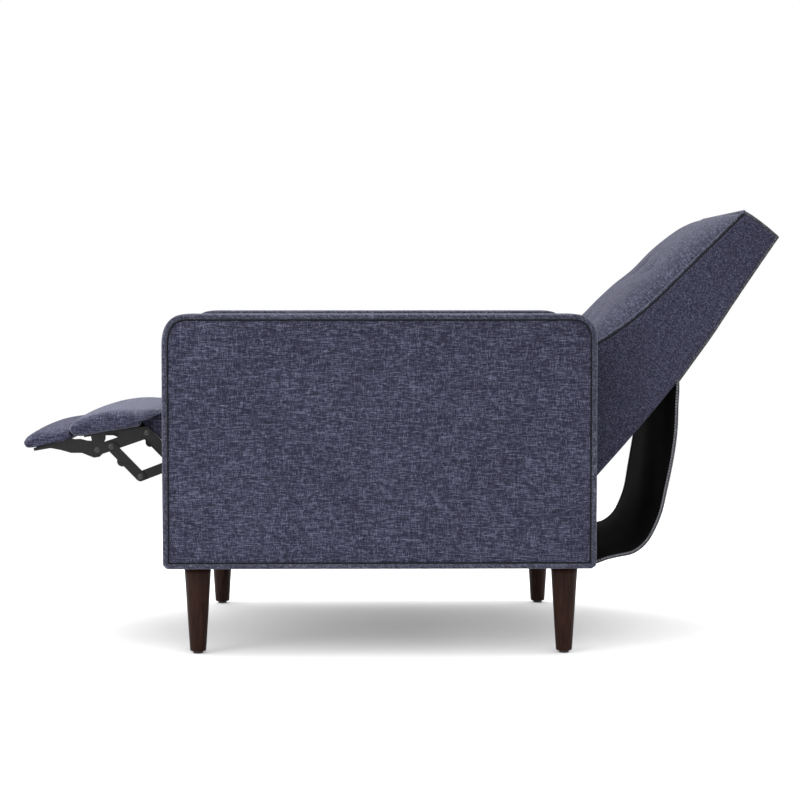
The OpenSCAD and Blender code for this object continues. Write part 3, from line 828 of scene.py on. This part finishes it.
# Tufting in mm: places of the buttons, depth and reach of their dents and of the two creases
BUTTON_U = (250, 400)
BUTTON_X = (-120, 0, 120)
BUTTONS = [(x, u) for u in BUTTON_U for x in BUTTON_X]
DENT, DENT_R = 9.5, 17.0
CREASE, CREASE_R = 2.2, 30.0
BUTTON_HOLD = 9                  # radius that a button holds down
BUTTON_DOME = [(0, -4.2), (3, -4.0), (6.5, -3.1), (9, -1.7), (10.6, 0.4), (11, 2.5), (9, 5)]
BACK_SWELL = 0.022
CUSHION_REAR = 60.0              # rear of the cushion inside the cover, in mm from the pivot
# Radii of the front piping, of the dark cord in the side seams (painted shadow of the groove) and of
# the rear welt
BACK_BEAD_R, BACK_SHADOW_CORD_R, BACK_WELT_R = 2.4 * MM, 2.9 * MM, 3.1 * MM
SEAM_IN = 4.0                    # how far the seams sit inside the widest part of the back


def side_panel(side):
    """A puffed side of the back: seam to rear edge, base to top."""
    rows, cols = fine_ends(570), fine_ends(150)
    front = reread(curve(BACK_SEAM, 300), rows)
    rear = reread(np.vstack([BACK_LOWER[::-1], curve(BACK_REAR, 80)[::-1][1:]]), rows)
    base = reread(np.array(BACK_BASE, float), cols)
    top = reread(curve(BACK_TOP, 60), cols)
    flat = coons_at(base, top, front, rear, rows, cols)
    grid = leaning((BACK_HALF / MM - SEAM_IN) * side, flat[..., 0], flat[..., 1])
    rise = edge_rise(grid, 0.0065) * (SEAM_IN + 0.2) * MM
    inside = edge_rise(grid, 0.10)
    grid[..., 0] += side * (rise + inside * (0.8 * MM + ripple(grid, 0.12, 1.2 * MM, seed=9.0 * side)))
    return grid


def strip(line, puff, places, seed):
    """A panel across the whole back along a side-view line, puffed outwards by puff mm."""
    half = BACK_HALF / MM - SEAM_IN
    across = (fine_ends(2 * half) * 2 - 1) * half
    line = reread(line, places)
    grid = leaning(across[None, :], line[:, 0, None], line[:, 1, None])
    rise = edge_rise(grid, 0.010) * 0.5 + edge_rise(grid, 0.12) * 0.5
    lift = (puff * rise + ripple(grid, 0.10, 0.8, seed=seed) * edge_rise(grid, 0.05))[..., None]
    moved = line[:, None] + lift * outwards(line)[:, None]
    return leaning(np.broadcast_to(across[None, :], moved.shape[:2]), moved[..., 0], moved[..., 1])


def crown_share(x):
    """How much of the centre crown is left at a place across the back."""
    away = np.abs(x / (BACK_HALF / MM - SEAM_IN))
    return 1 - 0.16 * away ** 30 - 0.84 * away ** 4.2


def seam_at(u):
    """How far rearwards the side seams are at a place up the back, in mm."""
    line = curve(BACK_SEAM, 400)
    return np.interp(u, line[:, 1], line[:, 0])


def cushion_front(x, u):
    """Distance of the cushion's face rearwards of the pivot line, in mm."""
    seam = seam_at(u)
    n = seam + (profile(BACK_CROWN, u) - seam) * crown_share(x)
    for bu in BUTTON_U:
        row = np.exp(-((u - bu) / CREASE_R) ** 2) * np.clip(1 - np.abs(x) / 215, 0, 1) ** 0.5
        n = n + CREASE * row
        for bx in BUTTON_X:
            n = n + DENT * np.exp(-(np.hypot(x - bx, u - bu) / DENT_R) ** 1.6)
    return n


def make_back():
    """The back's cover, its tufted cushion with the cloth swelled between buttons, and the trim."""
    rear_rows, low_rows = fine_ends(311), fine_ends(275)
    top_rows = fine_ends(75, edge=(1.5, 3.5, 6, 10, 16))
    shell = [side_panel(1), side_panel(-1),
             strip(curve(BACK_TOP, 60)[::-1], -3.0, top_rows, 2.0),
             strip(curve(BACK_REAR, 80)[::-1], -4.0, rear_rows, 4.0),
             strip(np.array(BACK_LOWER, float)[::-1], -2.0, low_rows, 6.0),
             strip(np.array(BACK_BASE, float), 0.0, fine_ends(212), 8.0)]
    cover = build("back_upholstery", shell, FABRIC_BACK, weld=0.0006)
    finish_piece(cover, "backrest", "fabric", "back_cover")

    half = BACK_HALF / MM - SEAM_IN
    xs = np.concatenate([[-half, -half + 1.2], np.linspace(-half + 5, half - 5, 54),
                         [half - 1.2, half]])
    us = np.concatenate([[14, 15.2], np.linspace(20, 540, 59), np.linspace(547, 574, 5),
                         [578.8, 580]])
    x, u = np.meshgrid(xs, us)
    front = leaning(x, cushion_front(x, u), u)
    rear = leaning(x * 0.985, CUSHION_REAR, 14 + (u - 14) * 0.99)
    grids = [front, rear]
    for a, b in edge_strips(front, rear):
        grids.append(np.stack([a, a + 0.15 * (b - a), (a + b) / 2, b]))
    cushion = build("back_cushion_tufted", grids, FABRIC_TUFT_SHADED, weld=0.0002)

    def hold(p):
        s, c = math.sin(LEAN), math.cos(LEAN)
        y, z = p[:, 1] - PIVOT_Y, p[:, 2] - PIVOT_Z
        x, n, u = p[:, 0] / MM, (y * c - z * s) / MM, (y * s + z * c) / MM
        edge = (np.abs(x) > half - 3) | (u < 18) | (u > 577) | (n > seam_at(u) + 3)
        pins = edge.astype(float)
        for bx, bu in BUTTONS:
            pins = np.maximum(pins, (np.hypot(x - bx, u - bu) < BUTTON_HOLD).astype(float))
        return pins

    inflate(cushion, hold, BACK_SWELL, pressure=3.0)
    smooth_piece(cushion)
    finish_piece(cushion, "backrest", "fabric", "back_cushion")
    make_back_trim(half)


def seam_path(half, forward):
    """A line up one side seam of the back, across its top and down the other side."""
    seam = curve(BACK_SEAM, 170)
    left, right = [leaning(x, seam[:, 0] - forward, seam[:, 1]) for x in (half, -half)]
    across = leaning(np.linspace(half, -half, 130), 53.5 - forward, 580 + forward)
    return np.vstack([left, across[1:-1], right[::-1]])


def make_back_trim(half):
    """Piping in front with a dark cord in its seam as painted shadow of the groove, a welt round the
    rear face, and the covered buttons.
    """
    bead = tube("back_bead_front", [seam_path(half - 0.2, 1.9)], BACK_BEAD_R, PIPING)
    finish_piece(bead, "backrest", "piping", "back_piping")
    # A dark cord beside the front piping, up the side seams and across the top: painted shadow of the
    # seam's groove
    groove = tube("back_seam_shadow_cord", [seam_path(half + 0.9, -2.4)], BACK_SHADOW_CORD_R, SEAM_SHADOW_CLOTH)
    finish_piece(groove, "backrest", "piping")

    rear = curve(BACK_REAR, 120)
    top = curve(BACK_TOP, 30)
    paths = []
    for side in (1, -1):
        line = np.vstack([top[:-1], rear, [[187, 277]]])
        paths.append(leaning((half + 0.8) * side, line[:, 0], line[:, 1]))
    paths.append(leaning(np.linspace(-half, half, 130), 127.5, 591.5))
    welt = tube("back_bead_rear", paths, BACK_WELT_R, HEM)
    finish_piece(welt, "backrest", "piping")

    grids = []
    cos, sin = circle(32)
    for bx, bu in BUTTONS:
        n = float(cushion_front(np.array(float(bx)), np.array(float(bu))))
        grids.append(np.array([leaning(bx + r * cos, n + h, bu + r * sin)
                               for r, h in BUTTON_DOME]))
    buttons = build("back_buttons_covered", grids, FABRIC_TUFT_SHADED, weld=0.00001)
    finish_piece(buttons, "backrest", "fabric", "back_buttons")


# ---- footrest ----

PAD_DROOP = 3.0                  # how far a pad is lower at its ends than in the middle, in mm
PAD_SWELL = 0.003
PAD_END = 19.0                   # length over which it is drawn in at each end, in mm

# Closed side views as (rearwards, up) in mm from the underside of each board
MAIN_PAD = [(-87, 25), (-81, 30), (-72, 32.8), (-60, 35), (-41, 37.6), (-20, 38.2), (-3, 37.5),
            (18, 35), (32, 32), (50, 30), (68, 29), (82, 26.5), (87, 23.5), (82, 20),
            (73, 17.5), (62, 13.5), (50, 10.5), (44, 12), (40.5, 9), (38, 1.5), (20, 0.4),
            (-4.5, 0.0), (-33, -0.2), (-57, -1.2), (-72, -0.6), (-82, 2), (-89, 9), (-91, 19)]
FLIP_PAD = [(-54.5, 21), (-49, 25.4), (-40, 27.6), (-30, 27.8), (-18, 26.8), (-4, 25.2), (12, 23.6),
            (24, 22), (30, 18), (31, 13), (30, 5), (27, 0), (22, -3), (12, -3.6), (-5, -1.5),
            (-24, -0.2), (-40, 0.6), (-48, 1.6), (-53.5, 4), (-56.5, 9.5), (-57, 16)]


def make_pad(name, body, loop, half, at, slope, flat_h, finish):
    """A pad wrapped round a board: one closed side view, drawn in towards both ends."""
    ring = curve(loop, 84, closed=True)
    middle_h = 0.5 * (ring[:, 1].min() + ring[:, 1].max()) * 0.82
    depth = 1 - np.cos(np.linspace(0, math.pi / 2, 8))
    straight = half - PAD_END
    tip = half - PAD_END * depth[:-1]
    rows = []
    v0 = ring[:, 0].mean()
    for x in np.concatenate([-tip, np.linspace(-straight, straight, 44), tip[::-1]]):
        t = max(0.0, (abs(x) - straight) / PAD_END)
        size = math.sqrt(max(0.0, 1 - t ** 2))
        keep = 0.30 + 0.70 * size
        v = v0 + (ring[:, 0] - v0) * (0.93 + 0.07 * size)
        h = middle_h + (ring[:, 1] - middle_h) * keep
        low = ring[:, 1] < middle_h
        h = np.where(low, np.maximum(h * (0.35 * (1 - size) + size), ring[:, 1]), h)
        droop = PAD_DROOP * (x / half) ** 2 * np.clip((ring[:, 1] - middle_h) / middle_h, 0, 1)
        rows.append(on_board(at, slope, x, v, h - droop))
    piece = ringed(f"{name}_filled", rows, finish)

    def hold(p):
        up = (p[:, 2] - at[1]) * math.cos(slope) - (p[:, 1] - at[0]) * math.sin(slope)
        return np.where(up < flat_h * MM, 1.0, 0.0)

    inflate(piece, hold, PAD_SWELL, pressure=2.0)
    smooth_piece(piece)
    finish_piece(piece, body, "fabric", name)


# Slack cloth behind the footrest pad, as (rearwards, up) in mm from the underside of its board
GUSSET = [(43, 8.5), (47, 0), (53, -5), (62, -16), (72, -29), (80, -33), (88, -28), (91, -10),
          (89, 8), (84, 18), (78, 20), (70, 17), (62, 13.8), (50, 10.8)]
GUSSET_HALF = 229                # just inside the links


def make_gusset():
    """The slack cloth as one soft closed piece, waved across."""
    ring = curve(GUSSET, 60, closed=True)
    centre = ring.mean(axis=0)
    half = GUSSET_HALF
    rows = []
    for x in np.concatenate([[-half, -half + 1, -half + 4], np.linspace(-half + 8, half - 8, 46),
                             [half - 4, half - 1, half]]):
        near = np.clip((abs(x) - (half - 6)) / 6, 0, 1)
        shape = centre + (ring - centre) * (0.94 + 0.06 * math.sqrt(1 - near ** 2))
        sag = np.clip((10 - shape[:, 1]) / 40, 0, 1) * (1.8 * math.sin(x / 37.0) - 0.8)
        rows.append(on_board(FOOT_AT, FOOT_SLOPE, x, shape[:, 0], shape[:, 1] + sag))
    piece = ringed("footrest_gusset_filled", rows, FABRIC_FOOT_SHEEN_LIT)
    finish_piece(piece, "footrest", "fabric")
    on_board(FOOT_AT, FOOT_SLOPE, 0, 70, 6).tolist()
    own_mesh(piece)


# ---- rivet heads ----

RIVETED = {"main_rivets": "main_link", "cross_rivets": "cross_link",
           "footrest_rivets": "footrest"}
# Domed head of a rivet, as (radius, height) in mm
RIVET_DOME = [(5.4, -0.6), (5.4, 0.1), (5.076, 0.4), (4.212, 0.6), (3.564, 0.5), (3.24, 0.8),
              (2.16, 1.1), (0, 1.1)]
RIVET_SPAN = 0.018               # points further apart than this belong to different rivets


def outer_faces(mesh):
    """(side, y, z) of each rivet of a mesh, with how far out it reaches along X."""
    rivets = []
    for v in mesh.vertices:
        for points in rivets:
            if v.co.x * points[0].x > 0 and (v.co - points[0]).yz.length < RIVET_SPAN:
                points.append(v.co)
                break
        else:
            rivets.append([v.co])
    reach = {}
    for points in rivets:
        low, high = np.min(points, axis=0), np.max(points, axis=0)
        y, z = (low[1:] + high[1:]) / 2
        side = 1 if low[0] > 0 else -1
        reach[side, round(y, 4), round(z, 4)] = max(abs(low[0]), abs(high[0]))
    return reach


def make_rivet_heads(node, body):
    """Domed heads on the outermost faces of the CAD rivets."""
    grids = []
    for (side, y, z), face in outer_faces(frame["nodes"][node].data).items():
        grids.append(np.array([[(side * (face + h * MM), y + r * MM * c, z + r * MM * s)
                                for c, s in zip(*circle(24))] for r, h in RIVET_DOME]))
    heads = build(f"{node}_heads", grids, RIVET_STEEL, weld=0.00001)
    finish_piece(heads, body, "black_steel")


# ---- cloth behind the seat ----

# Outer line of the cloth as (y, z) in mm, from the back down to the rear rail
FLAP_LINE = [(499, 501), (505, 488), (505.5, 468), (503.5, 441), (502, 405), (498.5, 368),
             (493, 329), (487, 293), (478.5, 248), (466, 215), (450, 189), (426, 171),
             (396, 164.5), (376, 160), (356, 153), (338, 152.5), (320, 158), (301, 161)]
FLAP_T = 2.6                     # thickness, in mm
FAR_SWAY = 16.0                  # how far the right edge hangs closer to the chair, in mm
HEM_W = 8.0
# Folded hem and rows of stitches, as (outwards of the cloth's edge, depth) in mm
HEM_FOLD = [(-HEM_W, -0.9), (-1.0, -1.1), (0.9, 0.0), (1.2, FLAP_T / 2), (0.9, FLAP_T),
            (-1.0, FLAP_T + 1.1), (-HEM_W, FLAP_T + 0.9), (0.4 - HEM_W, FLAP_T / 2), (-HEM_W, -0.9)]
STITCH_ROWS = [(-2.6, -1.35), (-2.6, FLAP_T + 1.35), (1.0, FLAP_T + 0.4)]
STITCH_R = 0.45 * MM
STITCH_PLACES = 720              # a stitch is 6 of them long, and the next begins 8 further on


def flap_wave(x, s):
    """Soft unevenness of the hanging cloth, none at its fixed ends."""
    free = np.sin(np.clip(s, 0, 1) * math.pi) ** 0.7
    sway = FAR_SWAY * np.clip(0.5 - x / (2 * FLAP_HALF / MM), 0, 1) ** 1.5
    sway = sway * (1 - 0.75 * s)
    return free * (sway + 1.6 * np.sin(x / 61.0 + 5 * s) + 1.2 * np.sin(x / 37.0 - 9 * s))


def flap_surface(xs, line, depth):
    """The cloth's surface at the given depth towards the chair, as a grid over line and x."""
    s = np.linspace(0, 1, len(line))[:, None]
    wave = flap_wave(xs[None, :], s)
    moved = line[:, None] + (wave + depth)[..., None] * outwards(line)[:, None]
    x = np.broadcast_to(xs[None, :], moved.shape[:2])
    return np.stack([x * MM, moved[..., 0] * MM, moved[..., 1] * MM], axis=-1)


def make_flap():
    """The hanging cloth with its lining, a folded hem along both sides, and the hem's stitches."""
    half = FLAP_HALF / MM
    line = curve(FLAP_LINE, 90)
    xs = np.concatenate([[-half, -half + 3], np.linspace(-half + HEM_W, half - HEM_W, 46),
                         [half - 3, half]])
    outer = flap_surface(xs, line, 0.0)
    inner = flap_surface(xs, line, FLAP_T)
    cloth = build("rear_flap_cloth", [outer, inner] + edge_strips(outer, inner),
                  [FABRIC, LINING], weld=0.0001, lined=1)
    fine_line = curve(FLAP_LINE, STITCH_PLACES)
    hem_grids, stitch_paths = [], []
    for side in (1, -1):
        def edge_line(out, depth, line):
            return flap_surface(np.array([(half + out) * side]), line, depth)[:, 0]

        hem_grids.append(np.stack([edge_line(*spot, line) for spot in HEM_FOLD], axis=1))
        for row in STITCH_ROWS:
            thread = edge_line(*row, fine_line)
            stitch_paths += [thread[k:k + 6] for k in range(4, STITCH_PLACES - 4, 8)]
    hem = build("rear_flap_hem", hem_grids, HEM, weld=0.00001)
    stitches = tube("rear_flap_stitches", stitch_paths, STITCH_R, THREAD_LIGHT, around=6, rough=0.0)
    for piece in (cloth, hem, stitches):
        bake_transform(piece)
    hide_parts("rear_flap")


# ---- finishes of the CAD pieces that show ----

CAD_FINISH = (
    (PINE, "front_rail rear_rail seat_front_rail back_top_rail back_lower_rail"),
    (PINE_Z, "arm_frame_left arm_frame_right back_side_left back_side_right"),
    (LINING, "seat_rear_rail seat_side_rail_left seat_side_rail_right footrest_board "
             "flipper_board"),
    (ZINC, "leg_bolts plate_bolts base_pins recline_pins seat_springs seat_pins"),
    (BLACK_STEEL, "rail_brackets base_plate_left base_plate_right spring_clips seat_plate_left "
                  "seat_plate_right back_bracket_left back_bracket_right lever_pins push_links "
                  "rear_links link_tube main_links main_rivets cross_links cross_rivets "
                  "front_links footrest_brackets footrest_rivets flipper_brackets"),
    (GLIDE, "foot_glides"),
    (STRAP, "back_webbing"),
)


def finish_cad():
    for material, names in CAD_FINISH:
        for name in names.split():
            node = frame["nodes"][name]
            node.data.materials.clear()
            node.data.materials.append(material)


# ---- floor, light and camera ----

FLOOR_R, FLOOR_Z = 3.4, -0.0002
KEY_LIGHT = dict(location=(-0.8, -1.0, 3.0), aim=(0, 0, 0.3), size=3.0, power=85)
FILL_LIGHT = dict(location=(2.6, -2.7, 1.6), aim=(0, 0.1, 0.4), size=1.8, power=42)
SKY_LOW, SKY_HIGH = 0.45, 2.6    # strength of the white light from level and from above
CAMERA_AT = (4.031, -0.0505, 0.652)
CAMERA_YAW, CAMERA_PITCH = 0.735, -3.018     # in degrees from straight along -X, and from level
CAMERA_LENS = 93.8
FLOOR_CLEAR = 0.22               # share of the white surroundings that shows through the floor, even under the chair: painted light that makes the chair's shadow paler


def make_floor():
    rings = [0.0, 0.6, 1.2, 1.8, 2.4, 3.0, FLOOR_R]
    grid = turned((0, 0), [(r, FLOOR_Z) for r in rings], around=64)
    floor = build("floor", [grid], floor_material(), weld=0.0001)


def floor_material():
    m, p = new_material("floor_pale")
    distance = m.add("VectorMath", {0: p}, operation="LENGTH").outputs["Value"]
    # Even near the chair FLOOR_CLEAR of the white surroundings shows through: painted light in the
    # chair's shadow
    fade = m.add("MapRange", {"Value": distance, "From Min": 1.3, "From Max": FLOOR_R - 0.1,
                              "To Min": FLOOR_CLEAR},
                 interpolation_type="SMOOTHSTEP").outputs["Result"]
    tone = m.noise(p, scale=3.0)
    colour = m.ramp(tone, [(0.3, (0.86, 0.86, 0.865)), (0.7, (0.88, 0.88, 0.885))])
    shader = m.add("BsdfDiffuse", {"Color": colour})
    clear = m.add("BsdfTransparent")
    mix = m.add("MixShader", {0: fade, 1: shader.outputs[0], 2: clear.outputs[0]})
    m.add("OutputMaterial", {0: mix.outputs[0]})
    return m.owner


def aimed(name, data, location, direction):
    """Puts a lamp or camera in the scene, looking in a direction."""
    made = bpy.data.objects.new(name, data)
    made.location = location
    made.rotation_euler = Vector(direction).to_track_quat("-Z", "Y").to_euler()
    bpy.context.scene.collection.objects.link(made)
    return made


def make_light(name, location, aim, size, power):
    data = bpy.data.lights.new(name, "AREA")
    data.shape = "RECTANGLE"
    data.size = data.size_y = size
    data.energy = power
    aimed(name, data, location, Vector(aim) - Vector(location))


def make_world():
    """White behind the chair. Its light is softer from low down than from above."""
    m = Nodes(bpy.data.worlds.new("studio"))
    bpy.context.scene.world = m.owner
    height = m.add("SeparateXYZ", {0: m.coordinates["Generated"]}).outputs[2]
    strength = m.add("MapRange", {"Value": height, "To Min": SKY_LOW, "To Max": SKY_HIGH})
    lit = m.add("Background", {0: (1, 1, 1, 1), 1: strength.outputs[0]})
    seen = m.add("Background", {0: (1, 1, 1, 1), 1: 1.0})
    mix = m.add("MixShader", {0: m.add("LightPath").outputs["Is Camera Ray"],
                              1: lit.outputs[0], 2: seen.outputs[0]})
    m.add("OutputWorld", {0: mix.outputs[0]})


def make_camera():
    data = bpy.data.cameras.new("camera")
    data.lens = CAMERA_LENS
    data.sensor_width = 36
    yaw, pitch = math.radians(CAMERA_YAW), math.radians(CAMERA_PITCH)
    look = (-math.cos(yaw) * math.cos(pitch), math.sin(yaw) * math.cos(pitch), math.sin(pitch))
    bpy.context.scene.camera = aimed("camera", data, CAMERA_AT, look)


# ---- the whole chair ----

make_camera()
for side_name, sign in SIDES.items():
    make_arm(side_name, sign)
for leg_name in ("leg_front_left", "leg_front_right", "leg_rear_left", "leg_rear_right"):
    make_leg(leg_name)
make_rail_cover("front_rail", "base")
make_rail_cover("rear_rail", "base")
make_rail_cover("seat_front_rail", "seat", faced=True)
make_seat()
make_back()
make_pad("footrest_pad", "footrest", MAIN_PAD, PAD_HALF / MM, FOOT_AT, FOOT_SLOPE, 12, FABRIC_FOOT_SHEEN_LIT)
make_pad("flipper_pad", "flipper", FLIP_PAD, FLIP_HALF / MM, FLIP_AT, FLIP_SLOPE, 9, FABRIC_FLIP_SHEEN_SHADED)
make_gusset()
for rivet_node, rivet_body in RIVETED.items():
    make_rivet_heads(rivet_node, rivet_body)
make_flap()
finish_cad()
make_floor()
make_world()
make_light("key", **KEY_LIGHT)
make_light("fill", **FILL_LIGHT)
bpy.context.scene.view_settings.view_transform = "Standard"
